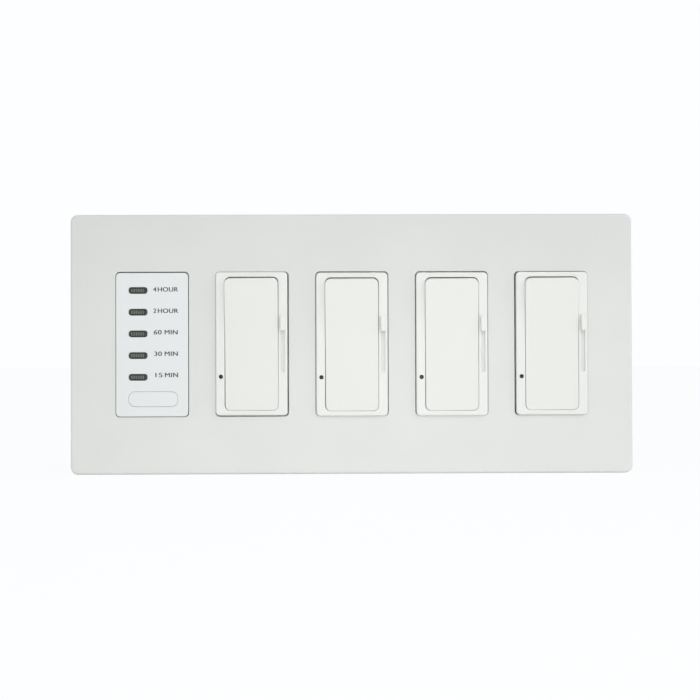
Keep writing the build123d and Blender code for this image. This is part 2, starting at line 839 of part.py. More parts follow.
def make_timer_power(centre):
    with BuildPart() as header:
        with BuildSketch(facing(centre, board_front)):
            with Locations((0, header_z)):
                Rectangle(header_width, header_height)
        extrude(amount=display_back - board_front)
    save(header, "timer_pin_header")

    with BuildPart() as relay:
        with BuildSketch(facing(centre, board_back)):
            with Locations((0, relay_z)):
                Rectangle(relay_width, relay_height)
        extrude(amount=-relay_depth)
    save(relay, "timer_relay")

    with BuildPart() as capacitor:
        with BuildSketch(facing(centre, board_back)):
            with Locations((0, -capacitor_z)):
                Rectangle(capacitor_width, capacitor_thickness)
        extrude(amount=-capacitor_length)
    save(capacitor, "timer_capacitor")


make_cover()
make_adapter()
make_plate_screws()

timer_seat = seat(0)
make_timer_strap(timer_seat)
make_housing("timer", timer_seat)
make_timer_face(timer_seat)
make_timer_windows(timer_seat)
make_timer_button(timer_seat)
make_display(timer_seat)
make_board("timer_power_board", timer_seat)
make_timer_power(timer_seat)

make_switches()
make_chokes()
make_triacs()
for gang in dimmer_gangs:
    dimmer = "dimmer_" + str(gang)
    dimmer_seat = seat(gang)
    make_dimmer_strap(dimmer, dimmer_seat)
    make_housing(dimmer, dimmer_seat)
    make_board(dimmer + "_circuit_board", dimmer_seat)
    make_bezel(dimmer, dimmer_seat)
    make_paddle(dimmer, dimmer_seat)
    make_slider(dimmer, dimmer_seat)
    make_slide_control(dimmer, dimmer_seat)
    make_light(dimmer, dimmer_seat)
    make_contact_carrier(dimmer, dimmer_seat)
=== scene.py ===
# %% [markdown]
# # A five-gang wall plate with a countdown timer and four slide dimmers
# The real object is a white screwless wall plate. Its left opening holds a countdown timer switch, and the
# other four hold dimmers, each with a wide rocker paddle, a narrow slider and a small light. The solids come
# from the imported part. This lesson dresses them: the moulded pieces that show are made again with the soft
# edges that a mould leaves, and each piece gets a finish made of nodes.

# %% Load the part and keep its box
import bmesh
import bpy
import json
import math
from mathutils import Matrix, Vector

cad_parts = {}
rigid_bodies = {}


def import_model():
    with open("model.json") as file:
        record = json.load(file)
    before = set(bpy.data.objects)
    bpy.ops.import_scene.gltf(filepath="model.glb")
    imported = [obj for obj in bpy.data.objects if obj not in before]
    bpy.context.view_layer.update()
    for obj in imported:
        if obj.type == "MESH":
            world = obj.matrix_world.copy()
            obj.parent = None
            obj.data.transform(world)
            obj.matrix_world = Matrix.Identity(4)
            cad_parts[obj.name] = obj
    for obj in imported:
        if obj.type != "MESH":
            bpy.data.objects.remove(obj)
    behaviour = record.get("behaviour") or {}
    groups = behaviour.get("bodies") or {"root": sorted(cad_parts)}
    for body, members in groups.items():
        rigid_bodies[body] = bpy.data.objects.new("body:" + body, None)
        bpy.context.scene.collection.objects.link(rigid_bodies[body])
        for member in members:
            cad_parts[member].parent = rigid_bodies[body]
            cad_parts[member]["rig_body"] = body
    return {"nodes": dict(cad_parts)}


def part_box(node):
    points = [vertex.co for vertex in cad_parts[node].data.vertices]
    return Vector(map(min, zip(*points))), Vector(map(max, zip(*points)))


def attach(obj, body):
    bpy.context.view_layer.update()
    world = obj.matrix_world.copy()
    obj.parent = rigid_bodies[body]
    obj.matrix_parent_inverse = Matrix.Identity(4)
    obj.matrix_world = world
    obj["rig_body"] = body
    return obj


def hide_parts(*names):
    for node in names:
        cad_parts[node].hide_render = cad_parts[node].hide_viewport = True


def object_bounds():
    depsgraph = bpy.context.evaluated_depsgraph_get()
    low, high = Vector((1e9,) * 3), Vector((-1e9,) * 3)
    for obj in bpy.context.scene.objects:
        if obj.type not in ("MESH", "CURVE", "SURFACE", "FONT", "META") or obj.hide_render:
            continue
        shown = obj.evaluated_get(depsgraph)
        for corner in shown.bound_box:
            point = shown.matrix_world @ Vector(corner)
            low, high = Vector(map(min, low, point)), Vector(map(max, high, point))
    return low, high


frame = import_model()
cad_box = [list(corner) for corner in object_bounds()]
print("pieces in the part:", len(frame["nodes"]), "box:", cad_box)

# %% [markdown]
# ## Working in millimetres
# Every size below is in millimetres, because that is how a moulding is drawn. A point is given as x across
# the plate, z up, and a front distance from the wall towards the room. Blender wants metres, and the room
# lies towards -Y, so the front distance changes sign. One scale at the end turns a finished mesh into
# metres.

# %% Millimetres, seats and rounded outlines
MM = 0.001
tiny = 0.001


def seat(node):
    """The middle of a part's piece, across and up, in mm."""
    low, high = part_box(node)
    return (low.x + high.x) / 2 / MM, (low.z + high.z) / 2 / MM


def outline(width, height, radius, middle=(0, 0), steps=6):
    """The points of a rectangle with round corners. A half-round end leaves out the doubled point."""
    runs = (height - 2 * radius, width - 2 * radius) * 2
    points = []
    for corner, (side, up) in enumerate(((1, -1), (1, 1), (-1, 1), (-1, -1))):
        for step in range(steps + 1 if runs[corner] > tiny else steps):
            angle = math.radians(90 * (corner - 1 + step / steps))
            points.append((
                middle[0] + side * (width / 2 - radius) + radius * math.cos(angle),
                middle[1] + up * (height / 2 - radius) + radius * math.sin(angle),
            ))
    return points


def soft_edge(front, edge, steps=4):
    """The (inset, front) pairs of a quarter round that ends on a face at that front distance."""
    turns = [math.radians(90 * step / steps) for step in range(steps + 1)]
    return [(edge * (1 - math.cos(a)), front - edge * (1 - math.sin(a))) for a in turns]


def soft_mouth(front, edge, steps=4):
    """The same round where a hole opens on the face, so the hole grows towards the front."""
    return [(-inset, at) for inset, at in soft_edge(front, edge, steps)]


print("corner points of a face:", len(outline(33, 66.1, 1.5)))

# %% [markdown]
# ## Walls and flats
# A moulded shell is walls and flats. A wall is one outline lofted through several depths, and a flat is what
# lies between outlines at one depth. Booleans could cut the holes, but lofted walls keep the rounding even
# and leave no stray slivers, so the light runs cleanly along each edge.

# %% Loft a wall and fill a flat
least_radius = 0.02
# A block reaches this far into what it stands on
overlap = 0.1
# The corner radius and the end round of the finest blocks
fine = (0.2, 0.1)


def wall(bm, size, radius, profile, middle=(0, 0), steps=6):
    """Lofts a rounded outline through (inset, front) pairs, and gives back its first and last rings.

    A third number in a pair insets the two ends further, for ends that curve along the wall.
    """
    rings = []
    for inset, front, *more in profile:
        corner = max(radius - inset, least_radius)
        points = outline(size[0] - 2 * inset, size[1] - 2 * inset - 2 * sum(more), corner, middle, steps)
        rings.append([bm.verts.new((x, -front, z)) for x, z in points])
    for near, far in zip(rings, rings[1:]):
        loft(bm, near, far)
    return rings[0], rings[-1]


def loft(bm, near, far):
    for i in range(len(near)):
        j = (i + 1) % len(near)
        bm.faces.new((near[i], near[j], far[j], far[i]))


def flat(bm, *rings):
    """Fills what lies between closed rings of points in one plane."""
    edges = []
    for ring in rings:
        for i, vert in enumerate(ring):
            pair = (vert, ring[(i + 1) % len(ring)])
            edges.append(bm.edges.get(pair) or bm.edges.new(pair))
    bmesh.ops.triangle_fill(bm, edges=edges, use_beauty=True, use_dissolve=False)


def block(bm, size, middle, back, front, radius=0.3, edge=0.15):
    """A small solid with soft ends, for hooks, ribs, posts and feet."""
    rear = [(inset, back + front - at) for inset, at in reversed(soft_edge(front, edge, 2))]
    first, last = wall(bm, size, radius, rear + soft_edge(front, edge, 2), middle, 3)
    flat(bm, first)
    flat(bm, last)


def turned(bm, line, middle, around=20):
    """A round solid from (radius, front) pairs, closed at both ends."""
    rings = []
    for radius, front in line:
        angles = [math.tau * i / around for i in range(around)]
        rings.append([
            bm.verts.new((middle[0] + radius * math.cos(a), -front, middle[1] + radius * math.sin(a)))
            for a in angles
        ])
    for near, far in zip(rings, rings[1:]):
        loft(bm, near, far)
    flat(bm, rings[0])
    flat(bm, rings[-1])


def join(bm, extra):
    """Moves all of a second mesh into the first."""
    mesh = bpy.data.meshes.new("extra")
    extra.to_mesh(mesh)
    extra.free()
    bm.from_mesh(mesh)
    bpy.data.meshes.remove(mesh)


# %% [markdown]
# ## From mesh to piece
# A finished mesh is scaled to metres, shaded smooth except at true corners, and hung on the body of the part
# that it moves with. Weighted normals let the large flats stay flat while their narrow rounds catch the
# light.

# %% Finish a mesh as a piece
smooth_up_to = math.radians(38)


def new_object(name, bm, finish=None):
    """Turns a mesh in metres into an object of the scene."""
    mesh = bpy.data.meshes.new(name)
    bm.to_mesh(mesh)
    bm.free()
    if finish:
        mesh.materials.append(finish)
    made = bpy.data.objects.new(name, mesh)
    bpy.context.scene.collection.objects.link(made)
    return made


def to_metres(bm, place=None):
    """Turns all faces outwards, puts a mesh in its place and scales it from mm to metres."""
    bmesh.ops.recalc_face_normals(bm, faces=bm.faces)
    bm.transform(Matrix.Scale(MM, 4) @ (place or Matrix.Identity(4)))


def shaded(name, bm, finish, place=None):
    """Turns a mesh in mm into an object that is smooth except at true corners."""
    to_metres(bm, place)
    piece = new_object(name, bm, finish)
    piece.data.shade_smooth()
    piece.data.set_sharp_from_angle(angle=smooth_up_to)
    weigh(piece)
    return piece


def weigh(piece):
    normals = piece.modifiers.new("even flats", "WEIGHTED_NORMAL")
    normals.keep_sharp = True
    normals.weight = 100


def make_piece(name, bm, finish, stands_for, place=None):
    """Makes a piece that stands for parts, and rides on the body of the first one."""
    piece = shaded(name, bm, finish, place)
    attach(piece, frame["nodes"][stands_for[0]]["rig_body"])
    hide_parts(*stands_for)
    return piece


# %% [markdown]
# ## Finishes from nodes
# Each finish is a node tree on Blender's principled shader. One small function adds a node with its settings
# and links, and short ones add what most finishes need: noise, a mix of two shades, a range and a relief.
# Colours are written as the sRGB hex values that a paint chart gives, and one function turns them to the
# linear values that the shader works with.

# %% Colour and node helpers
def linear(hex_code):
    """An sRGB hex colour as linear RGBA."""
    parts = [int(hex_code[i:i + 2], 16) / 255 for i in (0, 2, 4)]
    return [c / 12.92 if c <= 0.04045 else ((c + 0.055) / 1.055) ** 2.4 for c in parts] + [1.0]


def add(tree, kind, inputs=None, **settings):
    """Adds a node. An input that is given a socket is linked, and any other input is set."""
    node = tree.nodes.new(kind)
    for name, value in settings.items():
        setattr(node, name, value)
    for name, value in (inputs or {}).items():
        if isinstance(value, bpy.types.NodeSocket):
            tree.links.new(value, node.inputs[name])
        else:
            node.inputs[name].default_value = value
    return node


def new_finish(name):
    """An empty material with its tree, its principled shader and the object's own coordinates."""
    finish = bpy.data.materials.new(name)
    finish.use_nodes = True
    tree = finish.node_tree
    return finish, tree, tree.nodes["Principled BSDF"], add(tree, "ShaderNodeTexCoord").outputs["Object"]


def noise(tree, where, size, detail):
    """Noise with patches of about the given size in mm."""
    return add(tree, "ShaderNodeTexNoise", {
        "Vector": where, "Scale": 1 / (size * MM), "Detail": detail,
    }).outputs["Fac"]


def mixed(tree, factor, low, high):
    """A blend of two sRGB shades."""
    shade = add(tree, "ShaderNodeMix", {"Factor": factor}, data_type="RGBA")
    shade.inputs["A"].default_value = linear(low)
    shade.inputs["B"].default_value = linear(high)
    return shade.outputs["Result"]


def between(tree, value, low, high):
    """A value from 0 to 1, spread from low to high."""
    return add(tree, "ShaderNodeMapRange", {"Value": value, "To Min": low, "To Max": high}).outputs["Result"]


def relief(tree, height, strength, depth):
    """A surface that rises and falls by a depth in mm."""
    return add(tree, "ShaderNodeBump", {
        "Height": height, "Strength": strength, "Distance": depth * MM,
    }).outputs["Normal"]


def connect(tree, shader, colour, gloss, bump=None, **values):
    """Links colour, roughness and relief to the shader, and sets its other values."""
    tree.links.new(colour, shader.inputs["Base Color"])
    tree.links.new(gloss, shader.inputs["Roughness"])
    if bump:
        tree.links.new(bump, shader.inputs["Normal"])
    for name, value in values.items():
        shader.inputs[name].default_value = value


# %% [markdown]
# ## Moulded plastic
# The plate, the frames and the paddles are white polycarbonate and ABS from a polished and lightly
# spark-eroded mould. Such a surface is a soft satin: the colour is even, with a slow drift of a shade or so,
# and the gloss breaks up a little where the mould's texture is deeper. The true grain is about 0.05 mm and
# too fine to show, so it is drawn at 0.4 mm.

# %% Make the moulded plastics
drift_size = 38


def moulded(name, colour, deep, rough, grain=0.4, depth=0.004, ior=1.58, painted_light_below=0.0):
    """Satin moulded plastic: a slow drift between two near shades, and a fine grain from the mould.

    The shade can also be painted paler towards the lower edge: painted light that stands for light thrown up
    from below.
    """
    finish, tree, shader, where = new_finish(name)
    drift = noise(tree, where, drift_size, 3.0)
    grit = noise(tree, where, grain, 2.0)
    # Painted light: lower down, the mix moves towards the paler shade by painted_light_below for each mm
    place = add(tree, "ShaderNodeSeparateXYZ", {"Vector": where})
    share = add(tree, "ShaderNodeMath", {
        0: place.outputs["Z"], 1: -painted_light_below / MM, 2: drift,
    }, operation="MULTIPLY_ADD")
    shade = mixed(tree, share.outputs["Value"], deep, colour)
    gloss = between(tree, grit, rough - 0.04, rough + 0.06)
    connect(tree, shader, shade, gloss, relief(tree, grit, 0.25, depth), IOR=ior)
    return finish


# The plate's shade is painted paler towards its lower edge: painted light for light thrown up from below
cover_plastic = moulded("plate_polycarbonate_satin_white", "E2E4E1", "D9DBD8", 0.42, painted_light_below=0.007)
face_plastic = moulded("timer_abs_satin_cool_white", "E8EAEA", "E5E7E7", 0.38, ior=1.54)
frame_plastic = moulded("dimmer_frame_abs_satin_white", "EBECE9", "E8E9E6", 0.36, ior=1.54)
paddle_plastic = moulded("paddle_abs_satin_white", "E8EAE5", "E6E8E3", 0.4, ior=1.54)
adapter_plastic = moulded("adapter_polycarbonate_natural_white", "DADBD6", "D2D3CE", 0.5)
carrier_plastic = moulded("carrier_acetal_natural_white", "E9E6DC", "E2DFD4", 0.32, ior=1.48)
relay_plastic = moulded("relay_case_pbt_white", "E4E2DA", "DCDAD1", 0.45)
control_plastic = moulded("slide_control_nylon_grey", "8B8D8C", "7D7F7E", 0.5, ior=1.53)
print("plastics of plate and devices:", cover_plastic.name, face_plastic.name, frame_plastic.name)

# %% [markdown]
# ## Back housings
# The housings are glass-filled black nylon, moulded in a blasted mould. They look dull and slightly mottled,
# because glass fibres near the skin scatter light in short pale flecks.

# %% Make the black nylons
fibre_size = 0.8
nylon_ior = 1.53


def filled_nylon(name, colour, fleck, rough):
    """Glass-filled nylon: fibres as short pale flecks about 0.3 mm long, drawn at 0.8 mm, on a matt skin."""
    finish, tree, shader, where = new_finish(name)
    fibre = noise(tree, where, fibre_size, 6.0)
    spots = add(tree, "ShaderNodeMapRange", {"Value": fibre, "From Min": 0.56, "From Max": 0.74})
    shade = mixed(tree, spots.outputs["Result"], colour, fleck)
    gloss = between(tree, fibre, rough - 0.1, rough + 0.1)
    connect(tree, shader, shade, gloss, relief(tree, fibre, 0.35, 0.02), IOR=nylon_ior)
    return finish


housing_nylon = filled_nylon("housing_nylon_glass_filled_black", "26282A", "3A3C3E", 0.55)
component_black = filled_nylon("component_epoxy_moulded_black", "1C1D1F", "2A2B2D", 0.45)
print("black finishes:", housing_nylon.name, component_black.name)

# %% [markdown]
# ## Smoked lenses and ink
# The timer's windows and the dimmers' lights are acrylic with a smoke dye. Unlit, they look almost black
# with a clear gloss, and a little of what lies behind shows through. Acrylic has an IOR of 1.49, and a
# moulded lens is polished, so its roughness is low. The ink of the time marks is made in the same way, but
# it dries matt.

# %% Make the lens and ink finishes
cloud_size = 1.2
acrylic_ior = 1.49


def clouded(name, colour, deep, rough):
    """Dyed acrylic or dried ink: two near shades in faint clouds about 1 mm wide."""
    finish, tree, shader, where = new_finish(name)
    cloud = noise(tree, where, cloud_size, 2.0)
    shade = mixed(tree, cloud, deep, colour)
    connect(tree, shader, shade, between(tree, cloud, rough, rough + 0.08), IOR=acrylic_ior)
    return finish


smoked_lens = clouded("window_acrylic_smoked", "3E433F", "30342F", 0.14)
rib_lens = clouded("light_guide_acrylic_behind_smoke", "7B817B", "575D58", 0.3)
light_lens = clouded("indicator_acrylic_dark_smoke", "1B1E1C", "121412", 0.12)
marking_ink = clouded("time_mark_ink_matt_grey", "48494D", "3F4044", 0.6)
print("lenses and ink:", smoked_lens.name, rib_lens.name, light_lens.name, marking_ink.name)

# %% [markdown]
# ## Metals
# The timer's strap is stamped steel with a bright zinc plate, and the dimmers' straps are aluminium, rolled
# and stamped, because a dimmer's strap is also its heat sink. Rolling leaves fine lines along the sheet.
# They are about 0.05 mm apart and are drawn 0.5 mm apart here. Zinc plate has no lines but a soft crystal
# mottle. Metals keep the shader's own IOR.

# %% Make the metals
line_size = 0.5


def rolled_metal(name, colour, deep, rough, along):
    """Sheet metal with rolling lines: noise stretched along the sheet by the given scale in x, y and z."""
    finish, tree, shader, where = new_finish(name)
    squeezed = add(tree, "ShaderNodeMapping", {"Vector": where, "Scale": along})
    lines = noise(tree, squeezed.outputs["Vector"], line_size, 4.0)
    shade = mixed(tree, lines, deep, colour)
    gloss = between(tree, lines, rough - 0.08, rough + 0.1)
    connect(tree, shader, shade, gloss, relief(tree, lines, 0.2, 0.01), Metallic=1.0)
    return finish


strap_aluminium = rolled_metal("strap_aluminium_rolled", "D9DBDC", "C4C7C9", 0.36, (1.0, 1.0, 0.03))
strap_steel = rolled_metal("strap_steel_bright_zinc_plate", "C6C9CC", "A9AEB3", 0.3, (0.25, 0.25, 0.25))
screw_steel = rolled_metal("screw_steel_nickel_plate", "CFCCC6", "B4B1AB", 0.25, (0.3, 0.3, 0.3))
terminal_brass = rolled_metal("terminal_brass_turned", "D8B76A", "BF9C50", 0.28, (0.5, 0.5, 0.5))
print("metals:", strap_aluminium.name, strap_steel.name, screw_steel.name, terminal_brass.name)

# %% [markdown]
# ## Circuit boards
# The boards are glass-epoxy laminate under green solder mask. Copper tracks lift the mask a little and show
# as lighter lanes. The lanes are drawn with a brick pattern of long thin cells, 1.6 mm apart.

# %% Make the board and small component finishes
lane_length, lane_pitch, lane_width = 9, 1.6, 0.35
laminate_ior = 1.55


def masked_board(name, mask, lane):
    """Solder mask over laminate, with lanes of copper under it."""
    finish, tree, shader, where = new_finish(name)
    turn = add(tree, "ShaderNodeMapping", {"Vector": where, "Rotation": (math.radians(90), 0, 0)})
    lanes = add(tree, "ShaderNodeTexBrick", {
        "Vector": turn.outputs["Vector"], "Scale": 1.0, "Mortar Size": lane_width * MM, "Mortar Smooth": 0.2,
        "Brick Width": lane_length * MM, "Row Height": lane_pitch * MM,
        "Color1": linear(mask), "Color2": linear(mask), "Mortar": linear(lane),
    })
    gloss = between(tree, lanes.outputs["Fac"], 0.28, 0.36)
    bump = relief(tree, lanes.outputs["Fac"], 0.4, 0.03)
    connect(tree, shader, lanes.outputs["Color"], gloss, bump, IOR=laminate_ior)
    return finish


board_laminate = masked_board("board_glass_epoxy_green_mask", "1E5233", "2F7148")
film_capacitor = moulded("capacitor_case_epoxy_yellow", "D8A92F", "CC9C26", 0.4, ior=1.53)
led_package = moulded("led_package_white", "EFEDE2", "E6E4D8", 0.35)
print("boards and components:", board_laminate.name, film_capacitor.name, led_package.name)

# %% [markdown]
# ## Wall plate
# The plate is one moulding: a shallow tray with five openings. Its outer edge is well rounded, so dust and
# fingers find no corner, and each opening has a much finer round. No two devices sit quite alike in the wall
# box, so each opening is placed round its device with the play that shows as the dark line on each side.
# Inside, short catches along both long walls snap behind the adapter plate. It is lofted from its walls:
# rim, outside, front, openings and inside.

# %% Model the wall plate
plate_size = (259.66, 120.04)
plate_front = 7.6
plate_wall = 2.0
plate_corner, plate_edge = 3.4, 1.2
plate_foot = [(0.25, 0), (0.04, 0.12), (0, 0.4)]
cavity_corner, cavity_edge = 1.6, 0.6
opening_corner, opening_edge = 1.95, 0.16
catch_size, catch_sunk = (14, 1.3), 0.55
catch_back, catch_front, catch_edge = 0.25, 1.15, 0.12
gang_pitch = 46.04
gangs = [step * gang_pitch for step in (-2, -1, 0, 1, 2)]
face_size = (33.0, 66.1)
timer_size = (33.2, 66.3)
dimmers = ["dimmer_%d" % number for number in (1, 2, 3, 4)]
# The play round each device in mm: left, right, below and above
play = {
    "timer_face": (0.26, 0.34, 0.28, 0.5), "dimmer_1_bezel": (0.13, 0.64, 0.55, 0.19),
    "dimmer_2_bezel": (0.3, 0.37, 0.02, 0.66), "dimmer_3_bezel": (0.37, 0.29, 0.01, 0.61),
    "dimmer_4_bezel": (0.68, 0.2, 0.08, 0.33),
}


def model_plate():
    bm = bmesh.new()
    inner = plate_front - plate_wall
    cavity = (plate_size[0] - 2 * plate_wall, plate_size[1] - 2 * plate_wall)
    rim, face = wall(bm, plate_size, plate_corner, plate_foot + soft_edge(plate_front, plate_edge, 6))
    lip, ceiling = wall(bm, cavity, cavity_corner, [(0, 0)] + soft_edge(inner, cavity_edge))
    fronts, backs = [face], [ceiling]
    for node, (left, right, below, above) in play.items():
        width, height = timer_size if node == "timer_face" else face_size
        x, z = seat(node)
        near, far = wall(
            bm, (width + left + right, height + below + above), opening_corner,
            [(0, inner)] + soft_mouth(plate_front, opening_edge, 3),
            (x + (right - left) / 2, z + (above - below) / 2),
        )
        backs.append(near)
        fronts.append(far)
    flat(bm, *fronts)
    flat(bm, *backs)
    flat(bm, rim, lip)
    for left, right in zip(gangs, gangs[1:]):
        for up in (-1, 1):
            spot = ((left + right) / 2, up * (cavity[1] / 2 - catch_sunk))
            block(bm, catch_size, spot, catch_back, catch_front, edge=catch_edge)
    return bm


wall_plate = make_piece("wall_plate", model_plate(), cover_plastic, ["wallplate_cover"])
print("wall plate faces:", len(wall_plate.data.polygons))

# %% [markdown]
# ## Dimmer frame
# Each dimmer fills its opening with a frame that stands a little proud of the plate. The frame holds the
# deep well for the paddle, a slot with the slider's channel behind it, and a small hole for the light. Four
# barbed hooks hold it in the metal strap. The bores for the paddle's pins are cut last, with one boolean.

# %% Model the dimmer frames
frame_front, frame_corner, frame_edge = 8.9, 1.8, 0.7
strap_front = 1.3
well_size, well_corner, well_edge = (24.8, 61.66), 2.6, 0.1
well_floor = 2.5
slot_x, slot_middle, slot_size, slot_edge = 14.4, 0.01, (1.8, 25.76), 0.06
channel_middle, channel_size = 0.47, (2.7, 63.56)
cut_corner = 0.3
lip_back = 8.0
light_spot, light_bore, light_edge = (-14.11, -15.2), 0.98, 0.12
hatch_size = (4.4, 4.3)
hook_size, hook_x, hook_z, barb_z = (3.0, 1.6), 10.5, 27.5, 28.15
hook_back, barb_front = -1.35, -0.15
pivot_front = 4.4
pin_bore, drill_reach = 1.15, 13.1
across = Matrix.Rotation(math.radians(90), 4, "Z")


def model_frame(centre):
    def at(x, z):
        return centre[0] + x, centre[1] + z

    def opened(back, edge):
        return [(0, back)] + soft_mouth(frame_front, edge, 2)

    bm = bmesh.new()
    outside = [(0, strap_front)] + soft_edge(frame_front, frame_edge, 6)
    rear, face = wall(bm, face_size, frame_corner, outside, centre)
    floor, mouth = wall(bm, well_size, well_corner, opened(well_floor, well_edge), centre)
    slot, slit = wall(bm, slot_size, cut_corner, opened(lip_back, slot_edge), at(slot_x, slot_middle))
    channel, roof = wall(
        bm, channel_size, cut_corner, [(0, strap_front), (0, lip_back)], at(slot_x, channel_middle)
    )
    bore_size = (2 * light_bore, 2 * light_bore)
    bore, rim = wall(bm, bore_size, light_bore, opened(strap_front, light_edge), at(*light_spot))
    hatch, sill = wall(bm, hatch_size, cut_corner, [(0, strap_front), (0, well_floor)], centre)
    flat(bm, face, mouth, slit, rim)
    flat(bm, floor, sill)
    flat(bm, slot, roof)
    flat(bm, rear, channel, bore, hatch)
    for x in (-hook_x, hook_x):
        for up in (-1, 1):
            block(bm, hook_size, at(x, up * hook_z), hook_back, strap_front + overlap, *fine)
            block(bm, hook_size, at(x, up * barb_z), hook_back, barb_front, *fine)
    return bm


def carve(piece, tool, place=None, crossing=False):
    """Cuts a mesh in mm out of a piece, and keeps the result as the piece's own mesh."""
    to_metres(tool, place)
    cutter = new_object("cutter", tool)
    cut = piece.modifiers.new("cut", "BOOLEAN")
    cut.object = cutter
    cut.solver = "EXACT"
    cut.use_self = crossing
    bpy.context.view_layer.objects.active = piece
    bpy.ops.object.modifier_move_to_index(modifier=cut.name, index=0)
    bpy.ops.object.modifier_apply(modifier=cut.name)
    bpy.data.objects.remove(cutter)


for dimmer in dimmers:
    centre = seat(dimmer + "_bezel")
    bezel = make_piece(
        dimmer + "_frame", model_frame(centre), frame_plastic, [dimmer + "_bezel"]
    )
    drill = bmesh.new()
    turned(drill, [(pin_bore, -drill_reach), (pin_bore, drill_reach)], (0, 0))
    carve(bezel, drill, Matrix.Translation((centre[0], -pivot_front, centre[1])) @ across)
    bezel.data.set_sharp_from_angle(angle=smooth_up_to)
print("dimmer frame faces:", len(bezel.data.polygons))

# %% [markdown]
# ## Rocker paddle
# The paddle is a thin tray with its open side to the wall. It rocks on two pins at mid-height. At rest its
# lower half is pressed in and the upper half stands out, so it is modelled square to its pins and then
# leaned by four degrees about them, as the part has it. Its face is bent a little at mid-height, so that the
# lower half then lies almost flush with the frame. It has some play on its pins, so it isn't quite square. A
# leg behind the pins carries the rocking through the strap to the switch.

# %% Model the paddles
paddle_size, paddle_corner = (24.54, 61.44), 2.5
paddle_face, paddle_edge = 4.55, 0.35
paddle_foot, paddle_waist, paddle_wall = 0.6, 1.9, 1.3
tray_corner, tray_ceiling, tray_edge = 1.2, 2.7, 0.3
draft, face_draft = 0.008, 0.036
bend_back, bend_front, lower_slope = 3.0, 4.1, 0.06
rib_size, rib_z, rib_back = (22.0, 1.2), 15.07, 1.2
ear_size, ear_x, ear_back = (1.3, 3.0), 11.5, -1.5
leg_size, leg_reach = (3.6, 1.6), 6.9
pin_radius, pin_start, pin_end, pin_edge = 1.1, 11.9, 12.95, 0.15
tip_radius, tip_end = 1.15, 1.8
paddle_lean = math.radians(4)
paddle_play = (0.01, -0.04)
paddle_turn = math.radians(-0.24)


def model_paddle():
    """A paddle about its pivot: front distances start at the pins, and the ends are arcs about them."""
    bm = bmesh.new()
    tray = (paddle_size[0] - 2 * paddle_wall, paddle_size[1] - 2 * paddle_wall)
    swing = paddle_size[1] / 2
    sides = [(draft * at, at) for at in (paddle_foot, paddle_waist, bend_back)]
    sides += [(face_draft + inset, at) for inset, at in soft_edge(paddle_face, paddle_edge, 5)]
    outside = [(inset, at, swing - math.sqrt(swing ** 2 - at ** 2)) for inset, at in sides]
    rim, face = wall(bm, paddle_size, paddle_corner, outside)
    lip, ceiling = wall(bm, tray, tray_corner, [(0, paddle_foot)] + soft_edge(tray_ceiling, tray_edge, 2))
    flat(bm, face)
    flat(bm, ceiling)
    flat(bm, rim, lip)
    bend(bm)
    for up in (-rib_z, rib_z):
        block(bm, rib_size, (0, up), rib_back, tray_ceiling + overlap, *fine)
    for side in (-ear_x, ear_x):
        block(bm, ear_size, (side, 0), ear_back, tray_ceiling, *fine)
    block(bm, leg_size, (0, 0), -leg_reach, tray_ceiling + overlap, *fine)
    return bm


def bend(bm):
    """Parts the tray at mid-height, and lets the lower half of its face rise towards its end."""
    everything = [*bm.verts, *bm.edges, *bm.faces]
    bmesh.ops.bisect_plane(bm, geom=everything, plane_co=(0, 0, 0), plane_no=(0, 0, 1))
    for vert in bm.verts:
        share = min(max((-vert.co.y - bend_back) / (bend_front - bend_back), 0), 1)
        vert.co.y += share * lower_slope * min(vert.co.z, 0)


def add_cross_pins(bm):
    """The two pins and the leg's round tip lie across the paddle, so they are turned and then swung round."""
    pins = bmesh.new()
    for side in (-1, 1):
        turned(pins, [
            (pin_radius, side * pin_start), (pin_radius, side * (pin_end - pin_edge)),
            (pin_radius - pin_edge, side * pin_end),
        ], (0, 0))
    tip = bmesh.new()
    turned(tip, [
        (tip_radius - pin_edge, -tip_end), (tip_radius, pin_edge - tip_end),
        (tip_radius, tip_end - pin_edge), (tip_radius - pin_edge, tip_end),
    ], (0, 0))
    pins.transform(across)
    tip.transform(Matrix.Translation((0, leg_reach, 0)) @ across)
    join(bm, pins)
    join(bm, tip)
    return bm


for dimmer in dimmers:
    centre = seat(dimmer + "_bezel")
    lean = (Matrix.Translation((centre[0] + paddle_play[0], -pivot_front, centre[1] + paddle_play[1]))
            @ Matrix.Rotation(paddle_turn, 4, "Y") @ Matrix.Rotation(paddle_lean, 4, "X"))
    rocker = make_piece(
        dimmer + "_rocker", add_cross_pins(model_paddle()), paddle_plastic, [dimmer + "_paddle"],
        lean,
    )
print("paddle faces:", len(rocker.data.polygons))

# %% [markdown]
# ## Slider
# The slider is a narrow knob on a neck through the slot. Behind the slot it carries a long dust strip, which
# closes the slot wherever the knob stands, and a stem that reaches through the strap to the slide control.

# %% Model the sliders
knob_above, knob_lift = 9.27, 0.3
knob_size, knob_corner, knob_edge = (2.3, 7.16), 0.45, 0.45
knob_foot = [(0.12, 9.0), (0, 9.12)]
knob_front = 10.9
neck_size, neck_back, neck_front = (1.6, 6.96), 7.5, 9.2
strip_size, strip_above, strip_back, strip_front = (2.35, 44.9), 8.9, 7.3, 7.9
stem_size, stem_back = (1.2, 3.2), -3.4


def model_slider(centre):
    x = centre[0] + slot_x
    knob_z = centre[1] + knob_above
    bm = bmesh.new()
    sides = knob_foot + soft_edge(knob_front, knob_edge)
    rear, top = wall(bm, knob_size, knob_corner, sides, (x, knob_z + knob_lift))
    flat(bm, rear)
    flat(bm, top)
    block(bm, neck_size, (x, knob_z), neck_back, neck_front, edge=0.05)
    block(bm, strip_size, (x, centre[1] + strip_above), strip_back, strip_front, edge=0.08)
    block(bm, stem_size, (x, knob_z), stem_back, neck_back, *fine)
    return bm


